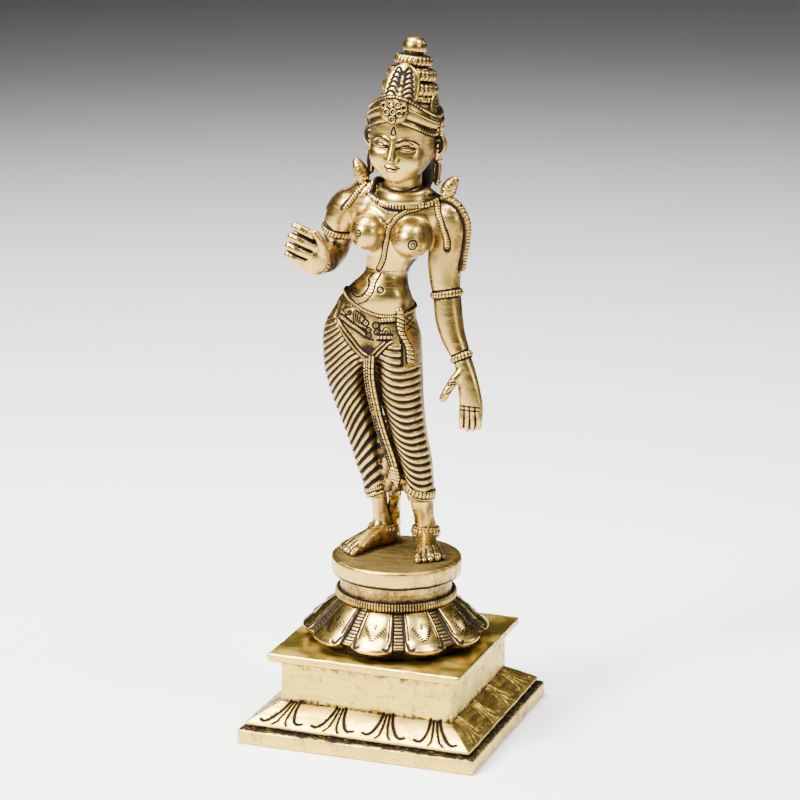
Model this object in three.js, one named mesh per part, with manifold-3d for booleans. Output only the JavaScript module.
// A standing goddess in cast brass on a round disc, a lotus pedestal and a square plinth.
// Millimetres, +Z up. The origin is the centre of the plinth's underside and the figure faces -Y.

import * as THREE from 'three';
import { mergeVertices } from 'three/addons/utils/BufferGeometryUtils.js';
import Module from 'manifold-3d';

const wasm = await Module();
wasm.setup();

// Square plinth
const slabHalf = 50;            // half the side of the lower slab
const slabHeight = 6.3;
const slabBevel = 0.9;
const grooveHeight = 0.7;       // dark groove between the slab and the moulding
const grooveInset = 3.4;        // from the slab's side to the bottom of the groove
const mouldingLip = 2.4;        // from the slab's side to the moulding's lower edge
const mouldingRound = 1.6;      // rounding of that lower edge
const mouldingRise = 8.6;
const blockHalf = 36.4;
const blockHeight = 17.4;
const topHalf = 40.7;           // half the side of the top slab
const topHeight = 3.5;
const topSweep = 0.6;           // how far the middle of each top edge lies in from its corners
const tonguesPerSide = 4;       // carved tongues on each side of the moulding
const tongueDepth = 0.9;
const tonguePitch = 20.6;

// Lotus pedestal
const lotusFootRadius = 32.6;
const lotusLipRadius = 36.8;
const lotusTopRadius = 23.4;
const lotusHeight = 17;         // from the plinth to the ribbed ring
const lotusLipHeight = 4.6;     // height of the widest part of a petal
const petalCount = 10;
const petalPhase = 3;           // degrees from the front to the middle of the first petal
const petalGroove = 1.6;        // depth of the groove beside each petal
const stripRecess = 1.3;        // how far the narrow leaf between two petals lies back
const ringRadius = 24.1;
const ringHeight = 4.2;
const neckRadius = 22.9;
const neckHeight = 6;

// Figure and the disc that it was cast with
const discRadius = 26.6;
const discHeight = 7.1;
const discRound = 1.5;
const figureHeight = 212;       // from the top of the disc to the top of the crown

const jointGap = 0.3;           // between one casting and the next
const sliver = 0.3;             // how far thinning may move the figure's skin
const fineSliver = 0.1;        // and that of the two castings below it

// The figure's proportions are drawn at this height and follow figureHeight.
const drawnHeight = 212;
const share = figureHeight / drawnHeight;

const polishedBrass = { color: 0xb9995a, roughness: 0.3, metalness: 1 };
const filedBrass = { color: 0xc2a468, roughness: 0.42, metalness: 1 };

const rad = THREE.MathUtils.degToRad;
const lerp = THREE.MathUtils.lerp;
const clamp = THREE.MathUtils.clamp;
const vec = (x, y, z) => new THREE.Vector3(x, y, z);

// Solids and surfaces

function solidOf(geometry) {
  const bare = geometry.clone();
  for (const name of Object.keys(bare.attributes)) {
    if (name !== 'position') bare.deleteAttribute(name);
  }
  const merged = mergeVertices(bare, 1e-4);
  const points = merged.attributes.position.array;
  const corners = merged.index.array;
  const triangles = [];
  let volume = 0;
  const [a, b, c] = [vec(0, 0, 0), vec(0, 0, 0), vec(0, 0, 0)];
  for (let i = 0; i < corners.length; i += 3) {
    const [p, q, r] = [corners[i], corners[i + 1], corners[i + 2]];
    if (p === q || q === r || p === r) continue;
    a.fromArray(points, p * 3);
    b.fromArray(points, q * 3);
    c.fromArray(points, r * 3);
    volume += a.dot(b.cross(c));
    triangles.push(p, q, r);
  }
  if (volume < 0) triangles.reverse();
  const mesh = new wasm.Mesh({
    numProp: 3,
    vertProperties: Float32Array.from(points),
    triVerts: Uint32Array.from(triangles),
  });
  return new wasm.Manifold(mesh);
}

function geometryOf(solid) {
  const mesh = solid.getMesh();
  const geometry = new THREE.BufferGeometry();
  geometry.setAttribute('position', new THREE.BufferAttribute(mesh.vertProperties, 3));
  geometry.setIndex(new THREE.BufferAttribute(mesh.triVerts, 1));
  geometry.computeVertexNormals();
  return geometry;
}

function join(solids) {
  return wasm.Manifold.union(solids);
}

// The outer skin alone, without the pinholes that a tight bend can close in.
function outerSkin(solid) {
  return solid.decompose().reduce((best, other) => (other.volume() > best.volume() ? other : best));
}

// Takes out slivers: a corner moves onto its neighbour where the skin then shifts by less than
// a tolerance, stays closed and turns no face over.
function thin(solid, tolerance) {
  const mesh = solid.getMesh();
  const three = (array, i) => [...array.slice(i * 3, i * 3 + 3)];
  const points = Array.from({ length: mesh.numVert }, (_, i) => vec(...three(mesh.vertProperties, i)));
  const faces = Array.from({ length: mesh.numTri }, (_, i) => three(mesh.triVerts, i));
  const around = points.map(() => new Set());
  faces.forEach((face, id) => face.forEach((corner) => around[corner].add(id)));
  const planeOf = (face) => new THREE.Plane().setFromCoplanarPoints(...face.map((i) => points[i]));
  const planes = points.map((_, i) => [...around[i]].map((id) => planeOf(faces[id])));
  const neighbours = (i) => new Set([...around[i]].flatMap((id) => faces[id]).filter((other) => other !== i));
  const shift = (from, to) => Math.max(
    ...planes[from].map((plane) => Math.abs(plane.distanceToPoint(points[to]))));
  const moved = (id, from, to) => faces[id].map((corner) => (corner === from ? to : corner));
  const staysUpright = (from, to) => [...around[from]].every((id) => faces[id].includes(to)
    || planeOf(faces[id]).normal.dot(planeOf(moved(id, from, to)).normal) > 0.5);
  let busy = true;
  while (busy) {
    busy = false;
    const moves = [];
    points.forEach((_, from) => neighbours(from).forEach((to) => {
      const distance = shift(from, to);
      if (distance < tolerance) moves.push([distance, from, to]);
    }));
    moves.sort((one, other) => one[0] - other[0]);
    const touched = new Set();
    for (const [, from, to] of moves) {
      if (touched.has(from) || touched.has(to)) continue;
      const [near, far] = [neighbours(from), neighbours(to)];
      if ([...near].filter((i) => far.has(i)).length !== 2 || !staysUpright(from, to)) continue;
      for (const id of [...around[from]]) {
        if (faces[id].includes(to)) {
          faces[id].forEach((corner) => around[corner].delete(id));
          faces[id] = null;
        } else {
          faces[id] = moved(id, from, to);
          around[to].add(id);
        }
      }
      around[from].clear();
      planes[to].push(...planes[from]);
      near.forEach((i) => touched.add(i));
      busy = true;
    }
  }
  const geometry = new THREE.BufferGeometry().setFromPoints(points);
  geometry.setIndex(faces.filter(Boolean).flat());
  return solidOf(geometry);
}

// A closed skin over rings of equal length, with a fan over each end.
function skin(rings) {
  const sides = rings[0].length;
  const points = rings.flat();
  const index = [];
  for (let row = 0; row + 1 < rings.length; row += 1) {
    for (let side = 0; side < sides; side += 1) {
      const next = (side + 1) % sides;
      const [low, lowNext] = [row * sides + side, row * sides + next];
      const [high, highNext] = [low + sides, lowNext + sides];
      index.push(low, lowNext, highNext, low, highNext, high);
    }
  }
  const middle = (ring) => ring.reduce((sum, p) => sum.add(p), vec(0, 0, 0)).divideScalar(sides);
  const bottom = points.length;
  const top = bottom + 1;
  const lastRow = (rings.length - 1) * sides;
  const all = [...points, middle(rings[0]), middle(rings[rings.length - 1])];
  for (let side = 0; side < sides; side += 1) {
    const next = (side + 1) % sides;
    index.push(bottom, next, side, top, lastRow + side, lastRow + next);
  }
  const geometry = new THREE.BufferGeometry().setFromPoints(all);
  geometry.setIndex(index);
  return solidOf(geometry);
}

// One value of a smooth curve through four even steps.
function between(before, from, to, after, part) {
  const slope = (to - before) / 2;
  const nextSlope = (after - from) / 2;
  const square = part * part;
  const cube = square * part;
  return from * (2 * cube - 3 * square + 1) + slope * (cube - 2 * square + part)
    + to * (3 * square - 2 * cube) + nextSlope * (cube - square);
}

// The body's limbs are rows of [x, y, z, half width, half depth] along a spine.
class Limb {
  constructor(rows, { level = false, front = [0, -1, 0] } = {}) {
    this.rows = rows;
    this.level = level;
    this.front = vec(...front);
    this.last = rows.length - 1;
  }

  row(step) {
    const at = clamp(step, 0, this.last);
    const i = Math.min(Math.floor(at), this.last - 1);
    const [before, after] = [Math.max(i - 1, 0), Math.min(i + 2, this.last)];
    return this.rows[i].map((value, column) => between(
      this.rows[before][column], value, this.rows[i + 1][column], this.rows[after][column], at - i));
  }

  // The step at which a level limb reaches a height.
  stepAt(height) {
    const rising = this.rows[this.last][2] > this.rows[0][2];
    let [low, high] = [0, this.last];
    for (let turn = 0; turn < 24; turn += 1) {
      const middle = (low + high) / 2;
      if ((this.row(middle)[2] < height) === rising) low = middle;
      else high = middle;
    }
    return (low + high) / 2;
  }

  // A point on the skin: 0 degrees is the front and 90 is the figure's left.
  point(step, degrees, out = 0) {
    const [x, y, z, width, depth] = this.row(step);
    const angle = rad(degrees);
    if (this.level) {
      return vec(x + (width + out) * Math.sin(angle), y - (depth + out) * Math.cos(angle), z);
    }
    const nudge = 0.05;
    const [ahead, behind] = [this.row(step + nudge), this.row(step - nudge)];
    const along = vec(ahead[0] - behind[0], ahead[1] - behind[1], ahead[2] - behind[2]).normalize();
    const side = this.front.clone().cross(along).normalize();
    const face = along.clone().cross(side);
    return vec(x, y, z)
      .addScaledVector(side, (width + out) * Math.sin(angle))
      .addScaledVector(face, (depth + out) * Math.cos(angle));
  }

  solid(sides, rowCount) {
    const rings = [];
    for (let row = 0; row <= rowCount; row += 1) {
      rings.push(ringOf(sides, (degrees) => this.point((this.last * row) / rowCount, degrees)));
    }
    return skin(rings);
  }
}

function ringOf(sides, pointAt) {
  return Array.from({ length: sides }, (_, side) => pointAt((side * 360) / sides));
}

function ball(centre, radii, columns = 10, rows = 7) {
  const geometry = new THREE.SphereGeometry(1, columns, rows);
  geometry.rotateX(Math.PI / 2);
  geometry.scale(...radii);
  geometry.translate(...centre);
  return solidOf(geometry);
}

// A cord or ribbon laid along points: half width across the surface, half height out of it.
// The point that it lies round, or the middle of the body behind it, tells which way is out.
function ribbon(points, halfWidth, halfHeight, middle, { closed = false, sides = 4 } = {}) {
  const count = points.length;
  const rings = points.map((point, i) => {
    const before = points[closed ? (i + count - 1) % count : Math.max(i - 1, 0)];
    const after = points[closed ? (i + 1) % count : Math.min(i + 1, count - 1)];
    const along = after.clone().sub(before).normalize();
    const inner = typeof middle === 'function' ? middle(i) : middle;
    const out = point.clone().sub(inner);
    out.addScaledVector(along, -out.dot(along)).normalize();
    const side = along.clone().cross(out);
    const wide = typeof halfWidth === 'function' ? halfWidth(i) : halfWidth;
    return ringOf(sides, (degrees) => point.clone()
      .addScaledVector(side, wide * Math.sin(rad(degrees + 180 / sides)))
      .addScaledVector(out, halfHeight * Math.cos(rad(degrees + 180 / sides))));
  });
  return closed ? closedTube(rings) : skin(rings);
}

function closedTube(rings) {
  const sides = rings[0].length;
  const index = [];
  rings.forEach((ring, row) => {
    const nextRow = (row + 1) % rings.length;
    for (let side = 0; side < sides; side += 1) {
      const next = (side + 1) % sides;
      const [low, lowNext] = [row * sides + side, row * sides + next];
      const [high, highNext] = [nextRow * sides + side, nextRow * sides + next];
      index.push(low, lowNext, highNext, low, highNext, high);
    }
  });
  const geometry = new THREE.BufferGeometry().setFromPoints(rings.flat());
  geometry.setIndex(index);
  return solidOf(geometry);
}

function curvePoints(corners, count) {
  const curve = new THREE.CatmullRomCurve3(corners.map((corner) => vec(...corner)));
  return curve.getPoints(count);
}

// A closed cord round a level limb; its height may change on the way round.
function girdle(limb, heightAt, out, halfWidth, halfHeight, count) {
  const points = [];
  const middles = [];
  for (let i = 0; i < count; i += 1) {
    const degrees = (i * 360) / count;
    const step = limb.stepAt(heightAt(degrees));
    points.push(limb.point(step, degrees, out));
    const [x, y, z] = limb.row(step);
    middles.push(vec(x, y, z));
  }
  return ribbon(points, halfWidth, halfHeight, (i) => middles[i], { closed: true });
}

// A closed cord square to a limb's spine, leaning from its front to its back.
function bangle(limb, step, lean, out, halfWidth, halfHeight, count = 10) {
  const [x, y, z] = limb.row(step);
  const points = ringOf(count, (degrees) => limb.point(step + lean * Math.cos(rad(degrees)), degrees, out));
  return ribbon(points, halfWidth, halfHeight, vec(x, y, z), { closed: true });
}

// The body: heights are above the top of the disc

const trunk = new Limb([
  [-12.5, 6.4, 79.0, 12.0, 9.4],
  [-14.0, 6.0, 84.3, 18.6, 12.0],
  [-14.0, 6.0, 92.9, 18.3, 12.0],
  [-12.8, 5.5, 98.9, 17.0, 11.6],
  [-12.2, 5.5, 103.1, 15.9, 11.0],
  [-11.4, 5.0, 106.5, 14.1, 10.0],
  [-10.4, 5.0, 110.3, 11.8, 8.6],
  [-8.6, 4.6, 113.6, 9.7, 7.2],
  [-7.3, 4.5, 116.8, 8.7, 6.8],
  [-5.6, 4.5, 121.8, 10.4, 7.6],
  [-4.2, 4.5, 127.3, 13.8, 8.4],
  [-3.2, 4.5, 133.3, 17.2, 9.0],
  [-2.6, 4.6, 139.3, 19.6, 9.0],
  [-2.0, 4.4, 143.8, 18.6, 8.4],
  [-1.4, 4.2, 147.3, 14.4, 7.6],
  [-0.8, 4.0, 150.0, 9.6, 6.8],
], { level: true });

const neck = new Limb([
  [-0.8, 3.6, 140.0, 9.0, 8.0],
  [-0.6, 3.2, 147.0, 8.6, 7.6],
  [-0.4, 2.8, 151.0, 7.8, 6.8],
  [-0.2, 2.4, 157.0, 7.4, 6.6],
  [0.0, 2.4, 163.0, 7.4, 6.6],
], { level: true });

const rightArm = new Limb([
  [-18.0, 4.4, 142.0, 5.6, 5.8],
  [-23.4, 4.8, 141.8, 6.5, 6.4],
  [-27.2, 5.8, 136.4, 7.0, 6.7],
  [-29.0, 7.2, 130.0, 6.2, 6.2],
  [-29.6, 6.6, 124.6, 5.3, 5.6],
  [-29.4, -0.5, 121.4, 4.9, 5.0],
  [-29.4, -8.0, 120.8, 4.6, 4.6],
  [-29.7, -15.5, 122.0, 4.1, 4.1],
  [-30.0, -20.0, 124.0, 3.7, 3.7],
], { front: [-0.6, -0.5, 0.7] });

const leftArm = new Limb([
  [14.0, 4.5, 141.6, 5.4, 5.6],
  [18.8, 4.5, 140.2, 6.5, 6.4],
  [19.0, 4.5, 134.0, 6.9, 6.4],
  [17.2, 4.2, 123.4, 7.1, 6.2],
  [17.4, 3.6, 115.0, 6.3, 5.6],
  [18.6, 3.0, 108.6, 5.7, 5.0],
  [19.9, 2.0, 100.5, 5.7, 4.8],
  [21.9, 1.0, 93.5, 5.2, 4.3],
  [24.8, 0.0, 87.9, 4.4, 3.7],
  [26.9, -0.8, 84.0, 3.7, 3.2],
  [28.6, -1.6, 79.1, 4.1, 2.9],
  [30.3, -2.6, 72.7, 4.6, 2.7],
  [31.6, -3.0, 66.3, 4.8, 2.6],
  [31.8, -2.9, 62.0, 4.6, 2.3],
]);

const rightLeg = new Limb([
  [-12.0, 9.8, 20.6, 3.9, 4.6],
  [-12.6, 9.4, 24.0, 4.6, 5.2],
  [-13.2, 8.8, 29.0, 5.2, 5.8],
  [-14.4, 8.0, 34.0, 5.7, 6.3],
  [-15.6, 7.2, 40.0, 6.1, 6.7],
  [-16.9, 6.4, 46.0, 6.6, 7.2],
  [-18.9, 5.6, 54.5, 7.4, 8.2],
  [-21.4, 5.0, 64.8, 8.6, 9.8],
  [-23.2, 5.0, 74.3, 9.7, 10.8],
  [-23.0, 5.4, 84.2, 10.7, 11.6],
  [-21.6, 5.6, 92.0, 11.2, 11.6],
  [-19.0, 5.6, 98.0, 10.8, 10.8],
  [-16.0, 5.6, 104.0, 7.6, 8.4],
], { level: true });

const leftLeg = new Limb([
  [6.5, 10.0, 21.0, 5.3, 5.4],
  [6.4, 9.6, 24.4, 5.8, 5.9],
  [6.1, 9.0, 29.2, 6.1, 6.3],
  [5.4, 7.8, 35.8, 6.6, 6.9],
  [4.4, 6.8, 41.9, 6.9, 7.4],
  [3.2, 5.8, 48.3, 7.1, 7.9],
  [2.0, 5.2, 56.7, 7.2, 8.7],
  [0.4, 4.8, 67.1, 7.9, 9.9],
  [-1.1, 4.8, 76.6, 8.9, 10.8],
  [-2.0, 5.2, 84.3, 9.1, 11.4],
  [-2.8, 5.4, 92.0, 8.6, 11.0],
  [-3.6, 5.4, 98.0, 6.0, 8.6],
], { level: true });

const rightShin = new Limb([
  [-11.0, 12.0, 2.0, 3.9, 4.2],
  [-11.0, 12.0, 6.6, 4.2, 4.3],
  [-10.9, 11.6, 11.4, 3.5, 3.8],
  [-11.3, 10.7, 17.1, 3.2, 3.6],
  [-11.9, 10.0, 24.0, 3.6, 4.2],
], { level: true });

const leftShin = new Limb([
  [8.3, 12.0, 3.0, 4.4, 4.6],
  [8.3, 12.0, 8.8, 4.6, 4.6],
  [7.7, 11.2, 13.6, 4.2, 4.2],
  [7.2, 10.6, 18.2, 4.6, 4.6],
  [6.6, 10.0, 25.0, 4.9, 5.0],
], { level: true });

// Pleats: each fold is a ring that climbs towards the inner side of its leg
const foldPitch = 3.1;
const foldDepth = 1.0;
const foldAngles = [0, 30, 60, 90, 125, 180, 235, 270, 300, 330];

// How much the folds show at an angle: full in front, faint behind.
function foldStrength(degrees, plainFrom, plainTo) {
  const angle = ((degrees + 180) % 360) - 180;
  const past = angle < 0 ? 0 : (angle - plainFrom) / (plainTo - plainFrom);
  const behind = (Math.abs(angle) - 110) / 30;
  return 1 - 0.75 * clamp(Math.max(past, behind), 0, 1);
}

function pleatedLeg(leg, { from, count, climb, bend, inner, strength }) {
  const rings = [];
  for (let half = 0; half <= count * 2; half += 1) {
    const height = from + (half * foldPitch) / 2;
    const lift = climb(height);
    const groove = half % 2 === 1 || half === 0 ? -foldDepth : 0;
    rings.push(foldAngles.map((degrees) => {
      const across = (1 + inner * Math.sin(rad(degrees))) / 2;
      const raised = height + lift * across ** bend;
      return leg.point(leg.stepAt(raised), degrees, groove * strength(degrees));
    }));
  }
  return skin(rings);
}

function makeSkirt() {
  const right = pleatedLeg(rightLeg, {
    from: 20.6, count: 25, bend: 1.4, inner: 1,
    climb: (height) => clamp(3.5 + (height - 20) * 0.2, 3.5, 14) * clamp((102 - height) / 12, 0, 1),
    strength: (degrees) => foldStrength(degrees, 100, 130),
  });
  const left = pleatedLeg(leftLeg, {
    from: 22, count: 22, bend: 2.2, inner: -1,
    climb: (height) => clamp(7.5 - (height - 70) * 0.25, 0, 7.5),
    strength: (degrees) => foldStrength(degrees, 60, 85),
  });
  const rightHem = girdle(rightLeg, (d) => 21.6 + 1.7 * (1 + Math.sin(rad(d))), 0.3, 1.5, 1.3, 10);
  const leftHem = girdle(leftLeg, (d) => 23.2 + 3.4 * ((1 - Math.sin(rad(d))) / 2) ** 2, 0.3, 1.7, 1.4, 10);
  const buttocks = [
    ball([-21.0, 10.5, 82], [9.6, 9.0, 10], 8, 6),
    ball([-6.0, 10.5, 82], [9.4, 9.0, 10], 8, 6),
  ];
  return [right, left, rightHem, leftHem, ...buttocks];
}

// Belt, looped sash and the long cloth that hangs between the legs
function frontOf(limb, x, height) {
  const [cx, cy, , width, depth] = limb.row(limb.stepAt(height));
  const sine = clamp((x - cx) / width, -1, 1);
  return cy - depth * Math.sqrt(1 - sine * sine);
}

function onTrunk(rows, out) {
  return rows.map(([x, height]) => [x, frontOf(trunk, x, height) - out, height]);
}

function beltHeight(degrees) {
  const angle = rad(degrees);
  return 103.4 - 4.2 * Math.max(Math.cos(angle), 0) - 2.2 * Math.sin(angle) * Math.max(Math.cos(angle), 0);
}

function makeBelt() {
  const core = (height) => vec(-13, 6, height);
  const laid = (rows, out, halfWidth, halfHeight, count) => {
    const points = curvePoints(onTrunk(rows, out), count);
    return ribbon(points, halfWidth, halfHeight, (i) => core(points[i].z));
  };
  const upper = girdle(trunk, beltHeight, 0.5, 1.3, 1.4, 18);
  const plate = laid([[-25, 101.2], [-18, 98], [-11, 95.8], [-5, 95.4], [2, 96.4]], 0, 5.4, 1.6, 6);
  const border = laid([[-25.5, 96.5], [-18, 94], [-11.5, 91.6], [-5.6, 90.8], [0.6, 91.2]], 0.6, 1.2, 1.7, 6);
  const loop = laid([
    [-26, 95.5], [-19, 90.2], [-13, 85.2], [-9.4, 83.2], [-4, 88.6], [0.4, 91],
  ], 1.2, 1.9, 1.9, 9);
  const strap = laid([[1.6, 102.6], [3.0, 97], [4.4, 90], [5.0, 79]], 0.8, 2.6, 2.0, 5);
  const knot = ball([1.4, frontOf(trunk, 1.4, 102) - 0.6, 102], [2.8, 2.2, 2.6], 7, 5);
  return [upper, plate, border, loop, strap, knot];
}

function makeSash() {
  const rows = [
    [-9.6, -6.6, 83.5], [-9.8, -5.4, 72.0], [-8.2, -3.0, 59.0],
    [-5.4, 0.4, 43.5], [-3.2, 2.6, 34.5], [-1.8, 4.2, 27.5],
  ];
  const points = curvePoints(rows, 8);
  return ribbon(points, 3.2, 3.4, (i) => points[i].clone().add(vec(0, 8, 0)));
}

function makeStrut() {
  const post = new Limb([
    [-7.4, 18.4, -1.5, 3.2, 3.2],
    [-7.2, 17.0, 6, 2.7, 2.9],
    [-6.2, 14.0, 16, 2.5, 2.7],
    [-4.4, 9.5, 26, 2.6, 3.4],
    [-4.2, 8.0, 36, 2.4, 3.8],
  ], { level: true });
  return post.solid(6, 4);
}

// A bare foot flat on the disc, with five toes
function makeFoot({ heel, turn, inner, size }) {
  const foot = new Limb([
    [0, -1.5, 2.4, 2.6, 3.4],
    [0, 1.6, 3.4, 4.0, 4.6],
    [0, 6.5, 4.2, 4.2, 5.0],
    [0, 12.0, 3.0, 4.8, 3.9],
    [0, 18.0, 1.6, 5.8, 2.9],
    [0, 21.6, 0.8, 6.2, 2.3],
  ], { front: [0, 0, 1] });
  const toes = [];
  for (let toe = 0; toe < 5; toe += 1) {
    const across = inner * (5.2 - toe * 2.6);
    const reach = 24.6 - toe * toe * 0.22;
    const size = toe === 0 ? 1.7 : 1.35;
    toes.push(ball([across, reach - 1.6, 0.7], [size, 2.7, size], 6, 4));
  }
  const solid = join([foot.solid(8, 6), ...toes]);
  const placed = solid.scale([size, size, 1]).rotate([0, 0, turn]).translate([heel[0], heel[1], 0]);
  solid.delete();
  return placed;
}

// Raised hand: four fingers curled one above the other in front of a rounded palm
function makeRaisedHand() {
  const palm = ball([-30.2, -20.4, 126.2], [7.0, 4.8, 8.2], 9, 7);
  const fingers = [];
  const fingerRows = [
    [[-26.6, -22.4, 133.2], [-32.0, -24.6, 136.0], [-36.6, -24.6, 137.0]],
    [[-27.0, -24.0, 129.8], [-33.0, -26.2, 132.4], [-37.6, -25.8, 133.4]],
    [[-29.0, -24.6, 126.4], [-34.4, -26.6, 129.0], [-38.4, -26.2, 130.2]],
    [[-31.0, -24.0, 123.4], [-35.6, -25.8, 125.8], [-39.2, -25.6, 126.9]],
  ];
  for (const rows of fingerRows) {
    const points = curvePoints(rows, 3);
    fingers.push(ribbon(points, 1.65, 1.8, (i) => points[i].clone().add(vec(0, 6, 0)), { sides: 5 }));
  }
  return [palm, ...fingers];
}

// Hanging hand: a long flat back, four short fingers side by side and a thumb held off
function makeHangingHand() {
  const fingers = [];
  for (let finger = 0; finger < 4; finger += 1) {
    const across = (finger - 1.5) * 2.35;
    const tip = 56.6 + Math.abs(finger - 1.2) * 0.7;
    const points = curvePoints([
      [31.4 + across, -3.4, 65], [31.6 + across * 1.02, -4.0, 61], [31.4 + across * 0.98, -3.6, tip],
    ], 2);
    fingers.push(ribbon(points, 1.2, 1.6, (i) => points[i].clone().add(vec(0, 5, 0)), { sides: 5 }));
  }
  const thumbPoints = curvePoints([
    [27.6, -2.4, 81], [25.0, -4.2, 77.6], [22.4, -6.0, 72.6], [20.6, -7.0, 68.6],
  ], 4);
  const thumb = ribbon(thumbPoints, 1.9, 2.0, (i) => thumbPoints[i].clone().add(vec(0, 6, 0)), { sides: 6 });
  return [...fingers, thumb, ball([20.6, -7.0, 68.6], [1.8, 1.9, 1.9], 6, 4)];
}

function makeArms() {
  const bands = [
    bangle(leftArm, 4.95, 0.12, 0.2, 2.6, 1.2),
    bangle(leftArm, 8.95, 0.14, 0.3, 2.6, 1.2),
    bangle(rightArm, 3.2, 0, 0.2, 2.6, 1.2),
    bangle(rightArm, 6.8, 0, 0.4, 2.0, 1.3),
  ];
  return [
    rightArm.solid(10, 12), leftArm.solid(10, 17),
    ...makeRaisedHand(), ...makeHangingHand(), ...bands,
  ];
}

function makeTrunk() {
  const breasts = [
    ball([-12.2, -4.6, 133.4], [7.4, 8.6, 7.4], 12, 8),
    ball([5.9, -4.8, 132.4], [7.7, 9.0, 7.8], 12, 8),
  ];
  return [trunk.solid(14, 18), neck.solid(10, 3), ...breasts];
}

// Necklace, sacred thread, shoulder ribbons and the two curls on the shoulders
function makeOrnaments() {
  const spine = (height) => vec(-1, 5, height);
  const laid = (rows, halfWidth, halfHeight, count) => {
    const points = curvePoints(rows, count);
    return ribbon(points, halfWidth, halfHeight, (i) => spine(points[i].z));
  };
  const necklacePoints = ringOf(15, (degrees) => {
    const angle = rad(degrees);
    return vec(0.4 + 14 * Math.sin(angle), 3 - 8.2 * Math.cos(angle), 148.4 - 3.6 * Math.cos(angle));
  });
  const necklace = ribbon(necklacePoints, 1.7, 1.9, vec(0.4, 4, 146), { closed: true });
  const collarPoints = ringOf(11, (degrees) => {
    const angle = rad(degrees);
    return vec(0 + 9.8 * Math.sin(angle), 3 - 7.6 * Math.cos(angle), 149.2 - 1.6 * Math.cos(angle));
  });
  const collar = ribbon(collarPoints, 2.8, 1.5, vec(0, 3, 144), { closed: true });
  const thread = laid([
    [13.5, -3.2, 149.5], [9.2, -4.8, 146.2], [3.4, -6.2, 140.5], [-2.2, -6.4, 133.4],
    [-4.0, -5.2, 127.0], [-6.6, -3.8, 121.0], [-9.6, -2.6, 115.4], [-14.2, -2.4, 109.8], [-21.6, -0.6, 106.4],
  ], 2.2, 1.5, 10);
  const armMiddle = (height) => vec(18.6, 5, height);
  const onArm = (rows, count) => {
    const points = curvePoints(rows, count);
    return ribbon(points, 2.2, 1.8, (i) => armMiddle(points[i].z));
  };
  const innerRibbon = onArm([
    [16.2, -1.4, 146.2], [18.6, -2.0, 139], [20.4, -2.2, 133], [21.6, -1.6, 127.6],
  ], 5);
  const outerRibbon = onArm([
    [15.8, 4.4, 148.4], [21.4, 4.4, 146.4], [26.2, 4.4, 140.6], [26.4, 4.4, 129], [25.2, 4.2, 118.8],
  ], 7);
  const backRibbon = onArm([[16.2, 9, 146.2], [18.6, 10.6, 139], [19.6, 10.8, 131]], 4);
  const rightMiddle = (height) => vec(-22, 5, height - 3);
  const onRight = (rows, count) => {
    const points = curvePoints(rows, count);
    return ribbon(points, 1.9, 1.6, (i) => rightMiddle(points[i].z));
  };
  const frontStrip = onRight([[-15.6, -1.0, 149.4], [-20.0, -1.4, 145.4], [-24.0, -1.2, 141.0]], 3);
  const outerStrip = onRight([
    [-17.6, 4, 150.4], [-24.4, 4.4, 148.6], [-30.2, 5.0, 143.2], [-33.2, 6, 137.6],
  ], 5);
  const curl = (base, tip) => {
    const middle = base.map((value, axis) => lerp(value, tip[axis], 0.5));
    return [
      ball(middle, [2.5, 2.4, 4.4], 6, 5),
      ball(tip.map((value, axis) => lerp(value, base[axis], 0.16)), [1.6, 1.6, 2.2], 6, 4),
      ball(base, [3.2, 3.0, 2.4], 6, 4),
    ];
  };
  return [
    necklace, collar, thread, innerRibbon, outerRibbon, backRibbon, frontStrip, outerStrip,
    ...curl([-18.2, 4.0, 151.2], [-21.0, 3.6, 159.6]), ...curl([16.6, 4.0, 149.4], [20.8, 3.6, 156.4]),
  ];
}

// Head: drawn upright about its own centre, then leaned and set on the neck
const headCentre = [-0.3, 1.8, 171.3];
const headLean = 4;             // degrees towards the figure's left
const headNod = 3;              // degrees forwards

const skull = new Limb([
  [0, -6.3, -16.0, 2.7, 2.2],
  [0, -5.0, -14.4, 5.5, 5.0],
  [0, -3.2, -11.6, 8.5, 8.2],
  [0, -0.9, -7.6, 11.0, 11.3],
  [0, 0.6, -3.0, 12.7, 13.0],
  [0, 1.0, 2.0, 13.3, 13.7],
  [0, 1.2, 7.0, 13.3, 13.7],
  [0, 1.4, 11.0, 12.4, 12.9],
  [0, 1.6, 14.5, 10.2, 11.0],
  [0, 1.6, 17.0, 6.0, 6.5],
], { level: true });

// Eyes at half height, brow, nose and chin a third of the face apart, mouth a third below the nose
const faceTop = 7.5;
const faceThird = 7.8;
const browHeight = faceTop - faceThird;
const eyeHeight = browHeight - 2.2;
const noseHeight = browHeight - faceThird;
const mouthHeight = noseHeight - faceThird / 3;
const eyeSpread = 5.2;
const earSpread = 13.5;

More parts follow.
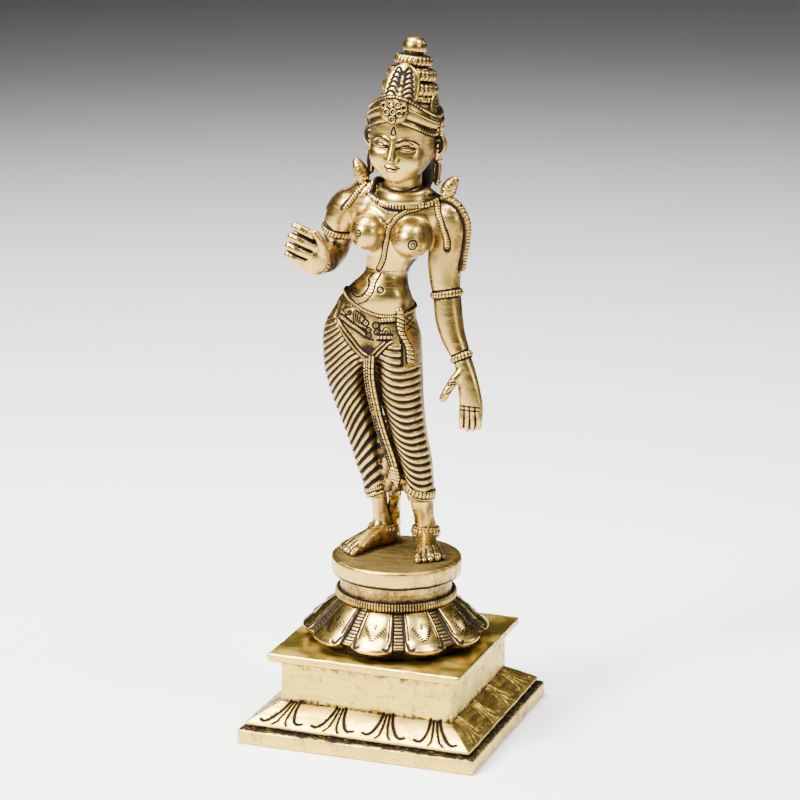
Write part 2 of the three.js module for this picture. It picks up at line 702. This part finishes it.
function makeFace() {
  const onFace = (x, height) => frontOf(skull, x, height);
  const nose = new Limb([
    [0, onFace(0, browHeight) + 0.2, browHeight, 0.9, 0.9],
    [0, onFace(0, eyeHeight) - 0.2, eyeHeight, 1.0, 1.0],
    [0, onFace(0, noseHeight) - 1.4, noseHeight + 1.8, 1.5, 1.7],
    [0, onFace(0, noseHeight) - 1.0, noseHeight + 0.2, 1.9, 1.7],
  ], { level: true });
  const eyes = [-1, 1].map((side) => ball(
    [side * eyeSpread, onFace(eyeSpread, eyeHeight) + 0.35, eyeHeight], [2.7, 1.1, 1.15], 6, 5));
  const brows = [-1, 1].map((side) => {
    const points = curvePoints([1.6, 3.4, 5.4, 7.8].map((x, i) => {
      const height = browHeight + [-0.2, 0.7, 0.8, -0.4][i];
      return [side * x, onFace(x, height) - 0.1, height];
    }), 3);
    return ribbon(points, 0.45, 0.6, vec(0, 0, 0), { sides: 3 });
  });
  const lips = [0.45, -0.45].map((lift) => ball(
    [0, onFace(0, mouthHeight) + 0.2, mouthHeight + lift], [2.3, 0.9, 0.6], 6, 4));
  return [nose.solid(5, 3), ...eyes, ...brows, ...lips];
}

function makeEars() {
  return [-1, 1].flatMap((side) => {
    const x = side * earSpread;
    return [
      ball([x, 2.8, -1.6], [1.6, 2.7, 4.4], 6, 5),
      ball([x, 3.2, -10.2], [1.7, 2.1, 6.0], 6, 5),
      ball([x + side * 0.3, 1.6, 5.8], [1.9, 2.5, 2.7], 6, 4),
    ];
  });
}

function makeHair() {
  const hair = new Limb([
    [0, 9.0, -24.0, 9.0, 3.6],
    [0, 9.0, -19.0, 10.6, 4.4],
    [0, 8.2, -13.0, 11.4, 6.2],
    [0, 6.6, -7.0, 12.2, 9.2],
    [0, 4.6, 0.0, 13.3, 11.4],
    [0, 3.2, 6.0, 13.3, 12.4],
    [0, 2.2, 10.0, 11.8, 11.8],
  ], { level: true });
  return [hair.solid(12, 6)];
}

// Diadem: a band round the head, highest and broadest in front, lowest above the ears
const diadem = { halfWidth: 13.3, halfDepth: 13.2, centre: 1.4, front: 14.2, side: 6.8, back: 9.6 };

function makeDiadem() {
  const count = 18;
  const towardsFront = (i) => Math.cos((i * Math.PI * 2) / count);
  const points = ringOf(count, (degrees) => {
    const cosine = Math.cos(rad(degrees));
    const height = lerp(diadem.side, cosine > 0 ? diadem.front : diadem.back, cosine ** 2);
    return vec(diadem.halfWidth * Math.sin(rad(degrees)), diadem.centre - diadem.halfDepth * cosine, height);
  });
  const halfWidth = (i) => 3.0 + 1.9 * Math.max(towardsFront(i), 0) ** 2;
  const band = ribbon(points, halfWidth, 1.9, (i) => vec(0, 2, points[i].z - 4), { closed: true });
  const below = points.map((p, i) => vec(p.x, p.y, p.z - 3.0 - 1.6 * Math.max(towardsFront(i), 0)));
  const lower = ribbon(below, 1.4, 1.4, (i) => vec(0, 2, points[i].z - 4), { closed: true });
  const medallion = ball([0, -12.2, 13.4], [4.6, 2.2, 4.6], 8, 5);
  return [band, lower, medallion];
}

// Crown: turned tiers under a round finial, with four upright leaves round the lowest ones
const crownBase = [0.5, 2.2, 12.6];
const crownLean = 8;            // degrees backwards, seen with the head upright
const leafDepth = 2.4;
const crownLeaves = [
  { turn: 0, height: 9.4, reach: 8.3, size: 1.05, lean: 14 },
  { turn: 90, height: 0.8, reach: 9.3, size: 0.75, lean: 5 },
  { turn: 180, height: 3.5, reach: 9.2, size: 0.9, lean: 12 },
  { turn: 270, height: 0.4, reach: 7.6, size: 0.72, lean: 5 },
];

function makeCrown() {
  const profile = [
    [0, -5], [11.4, -5], [11.4, 0.4], [9.2, 4.2],
    [10.3, 6.2], [10.3, 8.6], [7.8, 10.2],
    [9.1, 12.0], [9.1, 14.0], [6.0, 16.0],
    [7.1, 17.8], [7.1, 19.6], [3.6, 21.6],
    [4.8, 24.4], [3.4, 27.4], [0, 28.4],
  ];
  const turned = new THREE.LatheGeometry(profile.map(([r, h]) => new THREE.Vector2(r, h)), 14);
  turned.rotateX(Math.PI / 2);
  const leaves = crownLeaves.map(({ turn, height, reach, size, lean }) => {
    const leaf = new THREE.Shape();
    leaf.moveTo(-6.2 * size, -7.0 * size);
    leaf.bezierCurveTo(-6.6 * size, 2.2 * size, -4.2 * size, 6.6 * size, 0, 7.2 * size);
    leaf.bezierCurveTo(4.2 * size, 6.6 * size, 6.6 * size, 2.2 * size, 6.2 * size, -7.0 * size);
    const thick = { depth: leafDepth, bevelEnabled: false, curveSegments: 4 };
    const plate = new THREE.ExtrudeGeometry(leaf, thick);
    plate.rotateX(Math.PI / 2);
    plate.rotateX(rad(-lean));
    plate.translate(0, -reach, height);
    plate.rotateZ(rad(turn));
    return solidOf(plate);
  });
  const crown = join([solidOf(turned), ...leaves]);
  return crown.rotate([-crownLean, 0, 0]).translate(crownBase);
}

function makeHead() {
  const head = join([
    skull.solid(14, 10), ...makeFace(), ...makeEars(), ...makeHair(), ...makeDiadem(), makeCrown(),
  ]);
  return head.rotate([headNod, headLean, 0]).translate(headCentre);
}

function makeDisc() {
  const profile = [[0, -discHeight], [discRadius - discRound, -discHeight]];
  for (let step = 1; step <= 2; step += 1) {
    const angle = rad(step * 45);
    profile.push([
      discRadius - discRound + discRound * Math.sin(angle), -discHeight + discRound * (1 - Math.cos(angle)),
    ]);
  }
  profile.push([discRadius, -0.6], [discRadius - 0.6, 0], [0, 0]);
  const geometry = new THREE.LatheGeometry(profile.map(([r, h]) => new THREE.Vector2(r, h)), 32);
  geometry.rotateX(Math.PI / 2);
  return solidOf(geometry);
}

function makeFigure() {
  const body = join([
    ...makeTrunk(), ...makeSkirt(), ...makeBelt(), makeSash(), ...makeArms(), ...makeOrnaments(),
    makeHead(), makeStrut(), rightShin.solid(8, 4), leftShin.solid(8, 4),
    makeFoot({ heel: [-7.6, 14.2], turn: 180 - 31, inner: -1, size: 1.06 }),
    makeFoot({ heel: [6.0, 15.0], turn: 180 + 27, inner: 1, size: 1.05 }),
    bangle(rightShin, 1.3, 0, 0.5, 1.8, 1.5), bangle(leftShin, 1.2, 0, 0.5, 2.0, 1.5),
  ]).scale([share, share, share]);
  const cast = join([body, makeDisc()]).trimByPlane([0, 0, 1], -discHeight);
  return geometryOf(outerSkin(thin(outerSkin(cast), sliver)));
}

// Lotus pedestal: broad petals that turn out at the lip, narrow leaves between them
function makeLotus() {
  const lipDrop = 1.2;
  const columns = [
    // place across half a petal pitch, and how far out the surface lies there
    [-1, -stripRecess], [-0.8, -petalGroove - stripRecess], [-0.74, -0.3], [0, 0.5],
    [0.74, -0.3], [0.8, -petalGroove - stripRecess],
  ];
  const profile = [
    [lotusFootRadius, 0, 0], [lotusFootRadius, 2.0, 0.2], [lotusLipRadius - 0.9, lotusLipHeight - 1.8, 0.9],
    [lotusLipRadius, lotusLipHeight, 1], [lotusLipRadius - 3.2, lotusLipHeight + 3.0, 1],
    [lerp(lotusTopRadius, lotusLipRadius, 0.42), lerp(lotusLipHeight, lotusHeight, 0.56), 0.9],
    [lotusTopRadius, lotusHeight, 0.3],
  ];
  const half = 180 / petalCount;
  const rings = profile.map(([radius, height, relief]) => {
    const ring = [];
    for (let petal = 0; petal < petalCount; petal += 1) {
      for (const [across, out] of columns) {
        const angle = rad(petalPhase + (petal * 2 + across) * half);
        const edge = height > 0 && height <= lotusLipHeight ? lipDrop * across * across : 0;
        const r = radius + out * relief - edge * 0.4;
        ring.push(vec(r * Math.sin(angle), -r * Math.cos(angle), height + edge * 0.4));
      }
    }
    return ring;
  });
  const ringTop = lotusHeight + ringHeight;
  const collar = [
    [0, lotusHeight - 0.6], [ringRadius - 1.2, lotusHeight - 0.6], [ringRadius, lotusHeight + 0.6],
    [ringRadius, ringTop - 0.8], [ringRadius - 0.9, ringTop], [neckRadius, ringTop],
    [neckRadius - 0.3, ringTop + neckHeight * 0.5], [neckRadius, ringTop + neckHeight],
    [0, ringTop + neckHeight],
  ];
  const turned = new THREE.LatheGeometry(collar.map(([r, h]) => new THREE.Vector2(r, h)), 30);
  turned.rotateX(Math.PI / 2);
  return geometryOf(thin(join([skin(rings), solidOf(turned)]), fineSliver));
}

// Square plinth: slab, sloped moulding with carved tongues, block and top slab
function squareRing(half, height, sweep = 0) {
  const corners = [[1, -1], [1, 1], [-1, 1], [-1, -1]];
  return corners.flatMap(([x, y], i) => {
    const [nextX, nextY] = corners[(i + 1) % 4];
    const middle = [(x + nextX) / 2, (y + nextY) / 2].map((value) => value * (half - sweep));
    return [vec(x * half, y * half, height), vec(middle[0], middle[1], height)];
  });
}

function makePlinth() {
  const grooveTop = slabHeight + grooveHeight;
  const lipHalf = slabHalf - mouldingLip;
  const mouldingTop = grooveTop + mouldingRise;
  const blockTop = mouldingTop + blockHeight;
  const grooveHalf = slabHalf - grooveInset;
  const slopeHalf = (height) => lerp(
    lipHalf, blockHalf, (height - grooveTop - mouldingRound) / (mouldingRise - mouldingRound));
  const rings = [
    squareRing(slabHalf - slabBevel * 0.6, 0), squareRing(slabHalf, slabBevel * 0.6),
    squareRing(slabHalf, slabHeight - slabBevel), squareRing(slabHalf - slabBevel, slabHeight),
    squareRing(grooveHalf, slabHeight), squareRing(grooveHalf, grooveTop),
    squareRing(lipHalf - mouldingRound * 0.4, grooveTop),
    squareRing(lipHalf, grooveTop + mouldingRound * 0.5),
    squareRing(lipHalf, grooveTop + mouldingRound), squareRing(blockHalf, mouldingTop),
    squareRing(blockHalf, blockTop), squareRing(topHalf - 0.5, blockTop, topSweep),
    squareRing(topHalf, blockTop + 0.5, topSweep), squareRing(topHalf, blockTop + topHeight - 0.4, topSweep),
    squareRing(topHalf - 0.5, blockTop + topHeight, topSweep),
  ];
  const body = skin(rings);
  const cuts = [];
  for (let side = 0; side < 4; side += 1) {
    for (let tongue = 0; tongue < tonguesPerSide; tongue += 1) {
      const middle = (tongue - (tonguesPerSide - 1) / 2) * tonguePitch;
      for (const hand of [-1, 1]) cuts.push(tongueCut(middle, hand, side, grooveTop, mouldingTop, slopeHalf));
    }
  }
  return geometryOf(thin(body.subtract(join(cuts)), fineSliver));
}

// One side of a tongue: a groove down the slope that curls outwards at its foot
function tongueCut(middle, hand, side, low, high, slopeHalf) {
  const rows = [[1.4, 0.94], [1.9, 0.55], [3.6, 0.28], [6.6, 0.36]];
  const corners = rows.map(([across, up]) => {
    const height = lerp(low + mouldingRound, high, up);
    return [middle + hand * across, -slopeHalf(height), height];
  });
  const points = curvePoints(corners, 3);
  const inside = vec(0, slopeHalf(low), -slopeHalf(low) * 1.2);
  const behind = (i) => points[i].clone().add(inside);
  const cut = ribbon(points, tongueDepth * 0.55, tongueDepth, behind, { sides: 3 });
  return cut.rotate([0, 0, side * 90]);
}

// The object

function piece(name, geometry, finish, height) {
  const mesh = new THREE.Mesh(geometry, new THREE.MeshStandardMaterial(finish));
  mesh.name = name;
  mesh.position.z = height;
  return mesh;
}

const plinthTop = slabHeight + grooveHeight + mouldingRise + blockHeight + topHeight;
const pedestalBase = plinthTop + jointGap;
const pedestalTop = pedestalBase + lotusHeight + ringHeight + neckHeight;
const standHeight = pedestalTop + jointGap + discHeight;

const statue = new THREE.Group();
statue.add(
  piece('square_plinth', makePlinth(), filedBrass, 0),
  piece('lotus_pedestal', makeLotus(), polishedBrass, pedestalBase),
  piece('figure', makeFigure(), polishedBrass, standHeight),
);

export default statue;
